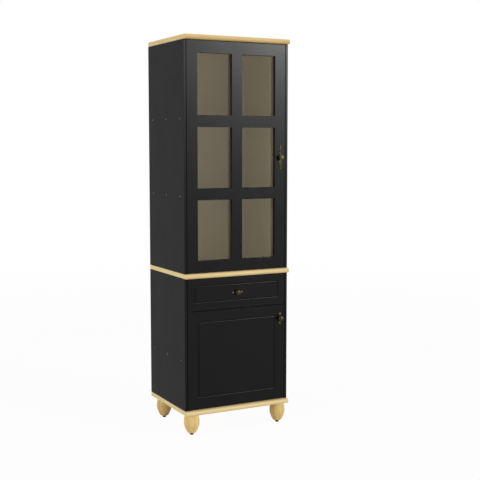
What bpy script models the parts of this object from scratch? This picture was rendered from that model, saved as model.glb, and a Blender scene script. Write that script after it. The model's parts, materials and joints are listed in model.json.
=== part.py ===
# One-door china cabinet: glazed upper case, drawer and panelled door below, wooden boards, turned feet.
# Metres, +X to the right, +Y to the back, +Z up, origin on the floor under the middle of the cabinet.

import math

import bmesh
import bpy
from mathutils import Matrix, Vector

# Case
TOTAL_HEIGHT = 1.872  # floor to the top of the top board
CASE_WIDTH = 0.550  # over the outer faces of the side panels, and the length of the boards
CASE_DEPTH = 0.422  # side panels, front edge to back edge
SIDE_THICK = 0.012
BOARD_THICK = 0.022
BOARD_OVERHANG = 0.022  # boards, in front of the side panels
BOARD_NOSE = 0.010  # rounding of a board's front edge
BOARD_EASE = 0.003  # rounding of a board's other edges
LOWER_CLEAR = 0.630  # bottom board to middle board
BACK_THICK = 0.003
BACK_REBATE = 0.007  # how far the back panels reach into the side panels
SHELF_THICK = 0.015
SHELF_SETBACK = 0.030  # shelf front edges behind the front of the case
LOWER_SHELF_RISE = 0.237  # middle of the lower shelf above the bottom board
HIGH_SHELF_SHIFT = 0.011  # middle of the high shelf above the middle of its door bar
LOW_SHELF_SHIFT = -0.009  # the same for the low shelf, which sits a little below its bar
DIVIDER_THICK = 0.012
DIVIDER_SETBACK = 0.002  # behind the drawer front

# Doors and drawer front, set in flush between the side panels
FRONT_THICK = 0.018
FRONT_GAP = 0.003
DRAWER_FRONT_HEIGHT = 0.153
GROOVE_WIDTH = 0.009
GROOVE_DEPTH = 0.0035
DOOR_GROOVE_MARGIN = 0.055
DRAWER_GROOVE_MARGIN = 0.038

# Glazed door
PANE_COLUMNS = 2
PANE_ROWS = 3
STILE = 0.055
RAIL = 0.055
UPRIGHT_BAR = 0.054
CROSS_BAR = 0.055
GLASS_THICK = 0.003
GLASS_LAP = 0.012  # glass behind the wood around the panes
BEAD_WIDTH = 0.008
BEAD_LIP = 0.005  # bead over the glass
BEAD_COVER = 0.002

# Door pivots
PIVOT_INSET = 0.012  # axis from the hinge edge of the door
PIVOT_DEPTH = 0.007  # axis behind the front of the door
PIN_RADIUS = 0.0025
PIN_REACH = 0.010  # pin inside the door
BUSH_WALL = 0.0017
BUSH_LENGTH = 0.012
PIVOT_PLATE_WIDTH = 0.016
PIVOT_PLATE_LENGTH = 0.055
PIVOT_PLATE_SETBACK = 0.002  # behind the front of the door

# Catches
CATCH_WIDTH = 0.014
CATCH_DEPTH = 0.022
CATCH_HEIGHT = 0.044
CATCH_BELOW_KNOB = 0.070
STRIKE_THICK = 0.001
STRIKE_WIDTH = 0.012
STRIKE_HEIGHT = 0.040

# Knobs, plates and screws
KNOB_REACH = 0.022  # knob tip in front of the doors
KNOB_RADIUS = 0.0126
KNOB_DOME = 0.0065  # half the thickness of the head
KNOB_NECK = 0.0050
KNOB_BASE = 0.0085
KNOB_INSET = 0.0255  # knob from the free edge of its door
PLATE_THICK = 0.002
PLATE_RIM = 0.0005  # plate around the knob's base
LONG_PLATE = 0.117
LONG_PLATE_WAIST = 0.0036  # half widths along the long plate
LONG_PLATE_LEAF = 0.0062
LONG_PLATE_STEM = 0.0034
LONG_PLATE_FLARE = 0.0058
LONG_PLATE_END = 0.0022
SHORT_PLATE = 0.060
SHORT_PLATE_WAIST = 0.0045  # half widths along the short plate
SHORT_PLATE_LOBE = 0.0075
SHORT_PLATE_END = 0.0030
LOWER_KNOB_DROP = 0.066  # under the top of the lower door
SCREW_RADIUS = 0.002
SCREW_HEAD_RADIUS = 0.004
SCREW_HEAD_HEIGHT = 0.0025
SCREW_IN_KNOB = 0.008

# Drawer box and slides
DRAWER_LENGTH = 0.350
DRAWER_SIDE_HEIGHT = 0.100
DRAWER_WALL = 0.012
DRAWER_LIFT = 0.006  # above the divider
DRAWER_BOTTOM_THICK = 0.003
DRAWER_BOTTOM_RISE = 0.008  # bottom panel above the lower edge of the box
DRAWER_BOTTOM_GROOVE = 0.006
SLIDE_SPACE = 0.0127  # between a side panel and the drawer box
SLIDE_LENGTH = 0.350
SLIDE_HEIGHT = 0.035
SLIDE_WALL = 0.0012
SLIDE_FLANGE = 0.0095
SLIDE_SETBACK = 0.004  # behind the drawer front

# Feet
FOOT_HEIGHT = 0.087
FOOT_TOP_RADIUS = 0.0320
FOOT_BELLY_RADIUS = 0.0375
FOOT_BELLY_RISE = 0.049  # belly above the lower end of the wood
FOOT_TOE_RADIUS = 0.0200
FOOT_INSET = 0.042  # axis from the side and front edges of the bottom board
FOOT_BACK_INSET = 0.069  # axis from the back edge
SPIGOT_RADIUS = 0.011
SPIGOT_LENGTH = 0.014
GLIDE_HEIGHT = 0.011
GLIDE_RADIUS = 0.0088
NAIL_RADIUS = 0.0015
NAIL_LENGTH = 0.014

# Clearances and fineness
SEAT = 0.0003  # between pieces that touch
PIN_PLAY = 0.0003
SLIDE_PLAY = 0.0004
ROUND_STEPS = 24
SMALL_STEPS = 16
CURVE_STEPS = 8
NOSE_STEPS = 5
GROOVE_STEPS = 4
CUT_OVER = 0.002  # how far a cutter stands out of what it cuts

# Places that follow from the sizes
HALF = CASE_WIDTH / 2
INNER = HALF - SIDE_THICK
FRONT = (max(KNOB_REACH, BOARD_OVERHANG) - CASE_DEPTH) / 2
BACK = FRONT + CASE_DEPTH
BOARD_FRONT = FRONT - BOARD_OVERHANG
BACK_FACE = BACK - BACK_THICK  # front of the back panels
FRONT_BACK = FRONT + FRONT_THICK  # back of the doors and drawer front
FOOT_TOP = GLIDE_HEIGHT + FOOT_HEIGHT
LOWER_FLOOR = FOOT_TOP + BOARD_THICK
LOWER_CEILING = LOWER_FLOOR + LOWER_CLEAR
UPPER_FLOOR = LOWER_CEILING + BOARD_THICK
UPPER_CEILING = TOTAL_HEIGHT - BOARD_THICK

DOOR_HALF = INNER - FRONT_GAP
UPPER_DOOR_BASE = UPPER_FLOOR + FRONT_GAP
UPPER_DOOR_TOP = UPPER_CEILING - FRONT_GAP
DRAWER_TOP = LOWER_CEILING - FRONT_GAP
DRAWER_FRONT_BASE = DRAWER_TOP - DRAWER_FRONT_HEIGHT
LOWER_DOOR_TOP = DRAWER_FRONT_BASE - FRONT_GAP
LOWER_DOOR_BASE = LOWER_FLOOR + FRONT_GAP

PANE_WIDTH = (2 * DOOR_HALF - 2 * STILE - (PANE_COLUMNS - 1) * UPRIGHT_BAR) / PANE_COLUMNS
PANE_HEIGHT = (UPPER_DOOR_TOP - UPPER_DOOR_BASE - 2 * RAIL - (PANE_ROWS - 1) * CROSS_BAR) / PANE_ROWS

PIVOT_X = PIVOT_INSET - DOOR_HALF
PIVOT_Y = FRONT + PIVOT_DEPTH
PIVOT_PLATE_THICK = FRONT_GAP / 2
KNOB_X = DOOR_HALF - KNOB_INSET
UPPER_KNOB_Z = (UPPER_DOOR_BASE + UPPER_DOOR_TOP) / 2
LOWER_KNOB_Z = LOWER_DOOR_TOP - LOWER_KNOB_DROP
DRAWER_KNOB_Z = (DRAWER_FRONT_BASE + DRAWER_TOP) / 2

DIVIDER_TOP = DRAWER_FRONT_BASE + DIVIDER_THICK
DRAWER_BASE = DIVIDER_TOP + DRAWER_LIFT
DRAWER_HALF = INNER - SLIDE_SPACE
DRAWER_START = FRONT_BACK + SEAT
DRAWER_END = DRAWER_START + DRAWER_LENGTH
SLIDE_Z = DRAWER_BASE + DRAWER_SIDE_HEIGHT / 2

FOOT_X = HALF - FOOT_INSET
FOOT_FRONT_Y = BOARD_FRONT + FOOT_INSET
FOOT_BACK_Y = BACK - FOOT_BACK_INSET


for old in list(bpy.data.objects):
    bpy.data.objects.remove(old, do_unlink=True)


# Finishes
def finish(name, colour, roughness, metallic=0.0, alpha=1.0):
    material = bpy.data.materials.new(name)
    material.use_nodes = True
    shader = material.node_tree.nodes["Principled BSDF"]
    shader.inputs["Base Color"].default_value = (*colour, 1.0)
    shader.inputs["Roughness"].default_value = roughness
    shader.inputs["Metallic"].default_value = metallic
    shader.inputs["Alpha"].default_value = alpha
    material.diffuse_color = (*colour, alpha)
    return material


BLACK_PAINT = finish("black_paint", (0.020, 0.020, 0.021), 0.45)
PINE = finish("pine", (0.66, 0.49, 0.26), 0.50)
LINING = finish("lining", (0.45, 0.38, 0.26), 0.60)
GLASS = finish("glass", (0.80, 0.84, 0.82), 0.05, alpha=0.35)
OLD_BRASS = finish("old_brass", (0.30, 0.24, 0.10), 0.35, metallic=1.0)
STEEL = finish("steel", (0.55, 0.55, 0.57), 0.35, metallic=1.0)
BLACK_PLASTIC = finish("black_plastic", (0.015, 0.015, 0.015), 0.40)
WHITE_PLASTIC = finish("white_plastic", (0.75, 0.75, 0.72), 0.40)


# Shapes
def box(low, high):
    bm = bmesh.new()
    bmesh.ops.create_cube(bm, size=1.0)
    low = Vector(low)
    high = Vector(high)
    bmesh.ops.scale(bm, vec=high - low, verts=bm.verts)
    bmesh.ops.translate(bm, vec=(high + low) / 2, verts=bm.verts)
    return bm


def prism(outline, axis, start, end):
    # The outline's two numbers run along the other two axes, in X, Y, Z order.
    bm = bmesh.new()
    column = "xyz".index(axis)
    corners = []
    for first, second in outline:
        point = [first, second]
        point.insert(column, start)
        corners.append(bm.verts.new(point))
    face = bm.faces.new(corners)
    grown = bmesh.ops.extrude_face_region(bm, geom=[face])["geom"]
    along = Vector((0, 0, 0))
    along[column] = end - start
    risen = [part for part in grown if isinstance(part, bmesh.types.BMVert)]
    bmesh.ops.translate(bm, vec=along, verts=risen)
    bmesh.ops.recalc_face_normals(bm, faces=bm.faces)
    return bm


def turned(profile, steps, closed=False):
    # The profile is radius and height. An open one starts and ends on the axis, a closed one makes a ring.
    bm = bmesh.new()
    points = [bm.verts.new((radius, 0, height)) for radius, height in profile]
    pairs = list(zip(points, points[1:]))
    if closed:
        pairs.append((points[-1], points[0]))
    edges = [bm.edges.new(pair) for pair in pairs]
    bmesh.ops.spin(
        bm, geom=points + edges, cent=(0, 0, 0), axis=(0, 0, 1), angle=math.tau, steps=steps, use_merge=True
    )
    bmesh.ops.remove_doubles(bm, verts=bm.verts, dist=1e-6)
    bmesh.ops.recalc_face_normals(bm, faces=bm.faces)
    return bm


def cylinder(radius, start, end, steps=SMALL_STEPS):
    return turned([(0, start), (radius, start), (radius, end), (0, end)], steps)


def moved(bm, place, facing_front=False):
    # Facing the front turns the shape's own axis from +Z to -Y.
    if facing_front:
        bmesh.ops.rotate(bm, verts=bm.verts, cent=(0, 0, 0), matrix=Matrix.Rotation(math.pi / 2, 3, "X"))
    bmesh.ops.translate(bm, vec=place, verts=bm.verts)
    return bm


def together(shapes):
    bm = bmesh.new()
    for shape in shapes:
        mesh = bpy.data.meshes.new("part")
        shape.to_mesh(mesh)
        shape.free()
        bm.from_mesh(mesh)
        bpy.data.meshes.remove(mesh)
    return bm


def arc(centre, radius, start, end, steps):
    turns = [math.radians(start + (end - start) * step / steps) for step in range(steps + 1)]
    return [(centre[0] + radius * math.cos(turn), centre[1] + radius * math.sin(turn)) for turn in turns]


# Objects
def add(name, bm, material, carrier=None, smooth=False):
    if carrier:
        bmesh.ops.translate(bm, vec=-carrier.location, verts=bm.verts)
    mesh = bpy.data.meshes.new(name)
    bm.to_mesh(mesh)
    bm.free()
    if smooth:
        mesh.shade_smooth()
        mesh.set_sharp_from_angle(angle=math.radians(40))
    mesh.materials.append(material)
    piece = bpy.data.objects.new(name, mesh)
    bpy.context.collection.objects.link(piece)
    piece.parent = carrier
    return piece


def cut(piece, shapes):
    cutter = add(piece.name + "_cutter", together(shapes), BLACK_PAINT, piece.parent)
    cutter.hide_render = True
    cutter.display_type = "WIRE"
    boolean = piece.modifiers.new("cut", "BOOLEAN")
    boolean.operation = "DIFFERENCE"
    boolean.solver = "EXACT"
    boolean.object = cutter


def axis_empty(name, place):
    empty = bpy.data.objects.new(name, None)
    empty.location = place
    bpy.context.collection.objects.link(empty)
    return empty


# Boards
def board(name, base):
    top = base + BOARD_THICK
    nose = min(BOARD_NOSE, BOARD_THICK / 2)
    ease = min(BOARD_EASE, BOARD_THICK / 2)
    outline = arc((BOARD_FRONT + nose, base + nose), nose, 270, 180, NOSE_STEPS)
    outline += arc((BOARD_FRONT + nose, top - nose), nose, 180, 90, NOSE_STEPS)
    outline += [(BACK, top), (BACK, base)]
    piece = add(name, prism(outline, "x", -HALF, HALF), PINE, smooth=True)
    ends = [edge for edge in piece.data.edges if is_board_end(piece.data, edge)]
    weights = piece.data.attributes.new("bevel_weight_edge", "FLOAT", "EDGE")
    for edge in ends:
        weights.data[edge.index].value = 1.0
    bevel = piece.modifiers.new("eased_ends", "BEVEL")
    bevel.limit_method = "WEIGHT"
    bevel.width = ease
    bevel.segments = 2
    return piece


def is_board_end(mesh, edge):
    # The long edges above and below at each end of a board
    ends = [mesh.vertices[index].co for index in edge.vertices]
    straight = abs(ends[0].x - ends[1].x) < SEAT and abs(ends[0].z - ends[1].z) < SEAT
    return straight and abs(ends[0].y - ends[1].y) > BOARD_OVERHANG


# Side panels, with a rebate at the back for the thin back panel
def side_panel(name, hand, floor, ceiling):
    outer = hand * HALF
    inner = hand * INNER
    rebate = hand * (INNER + BACK_REBATE)
    shoulder = BACK_FACE - SEAT
    outline = [(outer, FRONT), (inner, FRONT), (inner, shoulder)]
    outline += [(rebate, shoulder), (rebate, BACK), (outer, BACK)]
    add(name, prism(outline, "z", floor + SEAT, ceiling - SEAT), BLACK_PAINT)


def back_panel(name, floor, ceiling):
    half = INNER + BACK_REBATE - SEAT
    add(name, box((-half, BACK_FACE, floor + SEAT), (half, BACK, ceiling - SEAT)), LINING)


def shelf(name, middle, front, thick):
    half = INNER - SEAT
    low = (-half, front, middle - thick / 2)
    high = (half, BACK_FACE - SEAT, middle + thick / 2)
    add(name, box(low, high), LINING)


def bar_middle(number):
    return UPPER_DOOR_BASE + RAIL + number * PANE_HEIGHT + (number - 0.5) * CROSS_BAR


# Feet: a turned bulb with a spigot in the bottom board and a nailed glide under it
def swell(outer, inner, share):
    return inner + (outer - inner) * math.cos(share * math.pi / 2)


def foot_profile():
    belly = GLIDE_HEIGHT + FOOT_BELLY_RISE
    top = FOOT_TOP - SEAT
    bore = NAIL_RADIUS + SEAT
    profile = [(0, GLIDE_HEIGHT + NAIL_LENGTH), (bore, GLIDE_HEIGHT + NAIL_LENGTH), (bore, GLIDE_HEIGHT)]
    for step in range(CURVE_STEPS, 0, -1):
        share = step / CURVE_STEPS
        profile.append((swell(FOOT_BELLY_RADIUS, FOOT_TOE_RADIUS, share), belly - share * FOOT_BELLY_RISE))
    for step in range(CURVE_STEPS + 1):
        share = step / CURVE_STEPS
        profile.append((swell(FOOT_BELLY_RADIUS, FOOT_TOP_RADIUS, share), belly + share * (top - belly)))
    tip = FOOT_TOP + SPIGOT_LENGTH
    return profile + [(SPIGOT_RADIUS, top), (SPIGOT_RADIUS, tip), (0, tip)]


def glide_profile():
    ease = GLIDE_HEIGHT / 4
    top = GLIDE_HEIGHT - SEAT
    tip = top + NAIL_LENGTH - SEAT
    rim = [(0, 0), (GLIDE_RADIUS - ease, 0), (GLIDE_RADIUS, ease), (GLIDE_RADIUS, top)]
    return rim + [(NAIL_RADIUS, top), (NAIL_RADIUS, tip), (0, tip)]


def feet():
    places = {
        "front_left": (-FOOT_X, FOOT_FRONT_Y, 0),
        "front_right": (FOOT_X, FOOT_FRONT_Y, 0),
        "back_left": (-FOOT_X, FOOT_BACK_Y, 0),
        "back_right": (FOOT_X, FOOT_BACK_Y, 0),
    }
    for corner, place in places.items():
        foot = moved(turned(foot_profile(), ROUND_STEPS), place)
        add("foot_" + corner, foot, PINE, smooth=True)
        glide = moved(turned(glide_profile(), SMALL_STEPS), place)
        add("glide_" + corner, glide, BLACK_PLASTIC, smooth=True)
    sockets = []
    for x, y, _ in places.values():
        deep = FOOT_TOP + SPIGOT_LENGTH + SEAT
        socket = cylinder(SPIGOT_RADIUS + SEAT, FOOT_TOP - CUT_OVER, deep, ROUND_STEPS)
        sockets.append(moved(socket, (x, y, 0)))
    return sockets


# Milled groove: a round-bottomed strip run round a rectangle on the front face
def groove_section():
    half = GROOVE_WIDTH / 2
    radius = (half * half + GROOVE_DEPTH * GROOVE_DEPTH) / (2 * GROOVE_DEPTH)
    spread = math.degrees(math.asin(half / radius))
    centre = (0, FRONT + GROOVE_DEPTH - radius)
    section = arc(centre, radius, 90 + spread, 90 - spread, GROOVE_STEPS)
    return [(-half, FRONT - CUT_OVER)] + section + [(half, FRONT - CUT_OVER)]


def groove_ring(low_x, high_x, low_z, high_z):
    bm = bmesh.new()
    rings = []
    for offset, depth in groove_section():
        corners = [
            (low_x + offset, low_z + offset),
            (high_x - offset, low_z + offset),
            (high_x - offset, high_z - offset),
            (low_x + offset, high_z - offset),
        ]
        rings.append([bm.verts.new((x, depth, z)) for x, z in corners])
    for ring, other in zip(rings, rings[1:] + rings[:1]):
        for corner in range(len(ring)):
            after = (corner + 1) % len(ring)
            bm.faces.new([ring[corner], ring[after], other[after], other[corner]])
    bmesh.ops.recalc_face_normals(bm, faces=bm.faces)
    return bm


def milled_front(name, base, top, margin, knob, carrier):
    piece = add(name, box((-DOOR_HALF, FRONT, base), (DOOR_HALF, FRONT_BACK, top)), BLACK_PAINT, carrier)
    groove = groove_ring(margin - DOOR_HALF, DOOR_HALF - margin, base + margin, top - margin)
    return piece, [groove, knob_hole(knob)]


# Pulls
def knob_hole(knob):
    hole = cylinder(SCREW_RADIUS + SEAT, -FRONT_THICK - CUT_OVER, CUT_OVER + PLATE_THICK)
    return moved(hole, (knob[0], FRONT, knob[1]), facing_front=True)


def smooth_width(stations, share):
    # A curve through the stations (share of the half length, half width), level where they rise and fall
    for (start, low), (end, high) in zip(stations, stations[1:]):
        if share <= end:
            blend = (share - start) / (end - start)
            return low + (high - low) * (1 - math.cos(blend * math.pi)) / 2
    return stations[-1][1]


def plate_outline(length, stations, lying):
    steps = CURVE_STEPS * 3
    half = length / 2
    upper = [(half * step / steps, smooth_width(stations, step / steps)) for step in range(steps + 1)]
    upper = [(-along, width) for along, width in reversed(upper[1:])] + upper
    outline = upper + [(along, -width) for along, width in reversed(upper)]
    return outline if lying else [(width, along) for along, width in outline]


LONG_STATIONS = [
    (0.00, KNOB_BASE + PLATE_RIM),
    (0.16, LONG_PLATE_WAIST),
    (0.42, LONG_PLATE_LEAF),
    (0.66, LONG_PLATE_STEM),
    (0.92, LONG_PLATE_FLARE),
    (1.00, LONG_PLATE_END),
]
SHORT_STATIONS = [
    (0.00, KNOB_BASE + PLATE_RIM),
    (0.48, SHORT_PLATE_WAIST),
    (0.82, SHORT_PLATE_LOBE),
    (1.00, SHORT_PLATE_END),
]


def knob_profile():
    length = KNOB_REACH - PLATE_THICK - 2 * SEAT
    bore = SCREW_RADIUS + SEAT
    depth = SCREW_IN_KNOB + SEAT
    head = length - KNOB_DOME
    profile = [(0, depth), (bore, depth), (bore, 0), (KNOB_BASE, 0), (KNOB_BASE, SEAT + PLATE_THICK / 2)]
    profile += [(KNOB_NECK, (head - KNOB_DOME) / 2), (KNOB_NECK, head - KNOB_DOME)]
    for step in range(CURVE_STEPS + 1):
        turn = math.radians(-50 + 140 * step / CURVE_STEPS)
        profile.append((KNOB_RADIUS * math.cos(turn), head + KNOB_DOME * math.sin(turn)))
    profile[-1] = (0, length)
    return profile


def pull(prefix, knob, plate_length, stations, lying, carrier):
    x, z = knob
    outline = [(x + across, z + up) for across, up in plate_outline(plate_length, stations, lying)]
    plate = prism(outline, "y", FRONT - SEAT - PLATE_THICK, FRONT - SEAT)
    plate = add(prefix + "_knob_plate", plate, OLD_BRASS, carrier)
    cut(plate, [knob_hole((x, z))])
    seat = (x, FRONT - PLATE_THICK - 2 * SEAT, z)
    head = moved(turned(knob_profile(), ROUND_STEPS), seat, facing_front=True)
    add(prefix + "_knob", head, OLD_BRASS, carrier, smooth=True)
    under = -FRONT_THICK - SEAT
    tip = PLATE_THICK + 2 * SEAT + SCREW_IN_KNOB
    profile = [(0, under - SCREW_HEAD_HEIGHT), (SCREW_HEAD_RADIUS, under - SCREW_HEAD_HEIGHT)]
    profile += [(SCREW_HEAD_RADIUS, under), (SCREW_RADIUS, under), (SCREW_RADIUS, tip), (0, tip)]
    screw = moved(turned(profile, SMALL_STEPS), (x, FRONT, z), facing_front=True)
    add(prefix + "_knob_screw", screw, STEEL, carrier, smooth=True)


# Pivots: a plate with its pin on the case, a bush in the edge of the door
def pivot(prefix, end, edge, case_face, up, carrier):
    # The pin points up from a plate under the door, and down from one over it.
    hand = 1 if up else -1
    near = case_face + hand * SEAT
    far = near + hand * PIVOT_PLATE_THICK
    half = PIVOT_PLATE_WIDTH / 2
    start = FRONT + PIVOT_PLATE_SETBACK
    low = (PIVOT_X - half, start, min(near, far))
    high = (PIVOT_X + half, start + PIVOT_PLATE_LENGTH, max(near, far))
    plate = add(prefix + "_" + end + "_pivot", box(low, high), STEEL)
    pin_low, pin_high = sorted((near + hand * PIVOT_PLATE_THICK / 2, edge + hand * PIN_REACH))
    pin = moved(cylinder(PIN_RADIUS, pin_low, pin_high), (PIVOT_X, PIVOT_Y, 0))
    pin = add(plate.name + "_pin", pin, STEEL)
    pin.hide_render = True
    pin.display_type = "WIRE"
    union = plate.modifiers.new("pin", "BOOLEAN")
    union.operation = "UNION"
    union.solver = "EXACT"
    union.object = pin
    bore = PIN_RADIUS + PIN_PLAY
    outer = bore + BUSH_WALL
    bush_low, bush_high = sorted((edge, edge + hand * BUSH_LENGTH))
    ring = [(bore, bush_low), (outer, bush_low), (outer, bush_high), (bore, bush_high)]
    bush = moved(turned(ring, SMALL_STEPS, closed=True), (PIVOT_X, PIVOT_Y, 0))
    add(prefix + "_" + end + "_bush", bush, WHITE_PLASTIC, carrier, smooth=True)
    low, high = sorted((edge - hand * CUT_OVER, edge + hand * (BUSH_LENGTH + SEAT)))
    return moved(cylinder(outer + SEAT, low, high), (PIVOT_X, PIVOT_Y, 0))


def catch(prefix, middle, carrier):
    strike_back = FRONT_BACK + SEAT + STRIKE_THICK
    wall = INNER - SEAT
    half = CATCH_HEIGHT / 2
    low = (wall - CATCH_WIDTH, strike_back + SEAT, middle - half)
    high = (wall, strike_back + SEAT + CATCH_DEPTH, middle + half)
    add(prefix + "_catch", box(low, high), BLACK_PLASTIC)
    centre = wall - CATCH_WIDTH / 2 - FRONT_GAP / 2
    low = (centre - STRIKE_WIDTH / 2, FRONT_BACK + SEAT, middle - STRIKE_HEIGHT / 2)
    high = (centre + STRIKE_WIDTH / 2, strike_back, middle + STRIKE_HEIGHT / 2)
    add(prefix + "_strike", box(low, high), STEEL, carrier)


# Glazed door
def pane_cutters():
    cutters = []
    for column in range(PANE_COLUMNS):
        left = STILE - DOOR_HALF + column * (PANE_WIDTH + UPRIGHT_BAR)
        for row in range(PANE_ROWS):
            base = UPPER_DOOR_BASE + RAIL + row * (PANE_HEIGHT + CROSS_BAR)
            low = (left, FRONT - CUT_OVER, base)
            high = (left + PANE_WIDTH, FRONT_BACK + CUT_OVER, base + PANE_HEIGHT)
            cutters.append(box(low, high))
    return cutters


def bead_outline(glass_edge, outward):
    seat = FRONT_BACK + SEAT
    lip = seat + GLASS_THICK + SEAT
    cover = lip + BEAD_COVER
    near = glass_edge + outward * SEAT
    far = near + outward * BEAD_WIDTH
    inside = glass_edge - outward * BEAD_LIP
    return [(far, seat), (near, seat), (near, lip), (inside, lip), (inside, cover), (far, cover)]


def glazing(carrier):
    half = DOOR_HALF - STILE + GLASS_LAP
    base = UPPER_DOOR_BASE + RAIL - GLASS_LAP
    top = UPPER_DOOR_TOP - RAIL + GLASS_LAP
    face = FRONT_BACK + SEAT
    add("upper_door_glass", box((-half, face, base), (half, face + GLASS_THICK, top)), GLASS, carrier)
    reach = SEAT + BEAD_WIDTH
    for name, hand in (("left", -1), ("right", 1)):
        upright = prism(bead_outline(hand * half, hand), "z", base - reach, top + reach)
        add("glass_bead_" + name, upright, BLACK_PAINT, carrier)
    span = half - BEAD_LIP - SEAT
    for name, edge, hand in (("bottom", base, -1), ("top", top, 1)):
        outline = [(depth, height) for height, depth in bead_outline(edge, hand)]
        add("glass_bead_" + name, prism(outline, "x", -span, span), BLACK_PAINT, carrier)


def upper_door():
    carrier = axis_empty("upper_door_axis", (PIVOT_X, PIVOT_Y, UPPER_DOOR_BASE))
    knob = (KNOB_X, UPPER_KNOB_Z)
    low = (-DOOR_HALF, FRONT, UPPER_DOOR_BASE)
    high = (DOOR_HALF, FRONT_BACK, UPPER_DOOR_TOP)
    frame = add("upper_door_frame", box(low, high), BLACK_PAINT, carrier)
    bores = [
        pivot("upper_door", "bottom", UPPER_DOOR_BASE, UPPER_FLOOR, True, carrier),
        pivot("upper_door", "top", UPPER_DOOR_TOP, UPPER_CEILING, False, carrier),
    ]
    cut(frame, pane_cutters() + bores + [knob_hole(knob)])
    glazing(carrier)
    pull("upper_door", knob, LONG_PLATE, LONG_STATIONS, False, carrier)
    catch("upper_door", UPPER_KNOB_Z - CATCH_BELOW_KNOB, carrier)


def lower_door():
    carrier = axis_empty("lower_door_axis", (PIVOT_X, PIVOT_Y, LOWER_DOOR_BASE))
    knob = (KNOB_X, LOWER_KNOB_Z)
    panel, cutters = milled_front(
        "lower_door_panel", LOWER_DOOR_BASE, LOWER_DOOR_TOP, DOOR_GROOVE_MARGIN, knob, carrier
    )
    bores = [
        pivot("lower_door", "bottom", LOWER_DOOR_BASE, LOWER_FLOOR, True, carrier),
        pivot("lower_door", "top", LOWER_DOOR_TOP, DRAWER_FRONT_BASE, False, carrier),
    ]
    cut(panel, cutters + bores)
    pull("lower_door", knob, SHORT_PLATE, SHORT_STATIONS, False, carrier)
    catch("lower_door", LOWER_KNOB_Z - CATCH_BELOW_KNOB, carrier)


# Drawer: a box behind the front, with its slides
def drawer_side(name, hand, carrier):
    outer = hand * DRAWER_HALF
    inner = hand * (DRAWER_HALF - DRAWER_WALL)
    groove = hand * (DRAWER_HALF - DRAWER_WALL + DRAWER_BOTTOM_GROOVE)
    low = DRAWER_BASE + DRAWER_BOTTOM_RISE - SEAT
    high = DRAWER_BASE + DRAWER_BOTTOM_RISE + DRAWER_BOTTOM_THICK + SEAT
    top = DRAWER_BASE + DRAWER_SIDE_HEIGHT
    outline = [(outer, DRAWER_BASE), (inner, DRAWER_BASE), (inner, low), (groove, low), (groove, high)]
    outline += [(inner, high), (inner, top), (outer, top)]
    add(name, prism(outline, "y", DRAWER_START, DRAWER_END), LINING, carrier)


def channel(web, open_way, half_height):
    # A C section of sheet steel: a web and two flanges
    inside = web + open_way * SLIDE_WALL
    lip = web + open_way * SLIDE_FLANGE
    outline = [(web, -half_height), (lip, -half_height), (lip, SLIDE_WALL - half_height)]
    outline += [(inside, SLIDE_WALL - half_height), (inside, half_height - SLIDE_WALL)]
    outline += [(lip, half_height - SLIDE_WALL), (lip, half_height), (web, half_height)]
    return [(x, z + SLIDE_Z) for x, z in outline]


def drawer():
    carrier = axis_empty("drawer_axis", (0, FRONT, DRAWER_KNOB_Z))
    knob = (0, DRAWER_KNOB_Z)
    front, cutters = milled_front(
        "drawer_front", DRAWER_FRONT_BASE, DRAWER_TOP, DRAWER_GROOVE_MARGIN, knob, carrier
    )
    cut(front, cutters)
    pull("drawer", knob, SHORT_PLATE, SHORT_STATIONS, True, carrier)
    start = FRONT_BACK + SLIDE_SETBACK
    for name, hand in (("left", -1), ("right", 1)):
        drawer_side("drawer_" + name + "_side", hand, carrier)
        half = SLIDE_HEIGHT / 2
        fixed = channel(hand * (INNER - SEAT), -hand, half)
        add("case_slide_" + name, prism(fixed, "y", start, start + SLIDE_LENGTH), STEEL)
        running = channel(hand * (DRAWER_HALF + SEAT), hand, half - SLIDE_WALL - SLIDE_PLAY)
        add("drawer_slide_" + name, prism(running, "y", start, start + SLIDE_LENGTH), STEEL, carrier)
    inner = DRAWER_HALF - DRAWER_WALL
    floor = DRAWER_BASE + DRAWER_BOTTOM_RISE
    reach = inner + DRAWER_BOTTOM_GROOVE - SEAT
    panel = box((-reach, DRAWER_START, floor), (reach, DRAWER_END, floor + DRAWER_BOTTOM_THICK))
    add("drawer_bottom", panel, LINING, carrier)
    low = (SEAT - inner, DRAWER_END - DRAWER_WALL, floor + DRAWER_BOTTOM_THICK + SEAT)
    high = (inner - SEAT, DRAWER_END, DRAWER_BASE + DRAWER_SIDE_HEIGHT)
    add("drawer_back", box(low, high), LINING, carrier)


# Assembly
bottom = board("bottom_board", FOOT_TOP)
cut(bottom, feet())
board("middle_board", LOWER_CEILING)
board("top_board", UPPER_CEILING)
for side_name, side_hand in (("left", -1), ("right", 1)):
    side_panel("lower_" + side_name + "_side", side_hand, LOWER_FLOOR, LOWER_CEILING)
    side_panel("upper_" + side_name + "_side", side_hand, UPPER_FLOOR, UPPER_CEILING)
back_panel("lower_back_panel", LOWER_FLOOR, LOWER_CEILING)
back_panel("upper_back_panel", UPPER_FLOOR, UPPER_CEILING)
shelf("lower_shelf", LOWER_FLOOR + LOWER_SHELF_RISE, FRONT + SHELF_SETBACK, SHELF_THICK)
shelf("upper_shelf_low", bar_middle(1) + LOW_SHELF_SHIFT, FRONT + SHELF_SETBACK, SHELF_THICK)
shelf("upper_shelf_high", bar_middle(2) + HIGH_SHELF_SHIFT, FRONT + SHELF_SETBACK, SHELF_THICK)
shelf("drawer_divider", (DRAWER_FRONT_BASE + DIVIDER_TOP) / 2, FRONT_BACK + DIVIDER_SETBACK, DIVIDER_THICK)
upper_door()
lower_door()
drawer()
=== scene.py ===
import json
import math

import bmesh
import bpy
from mathutils import Matrix, Vector


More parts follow.
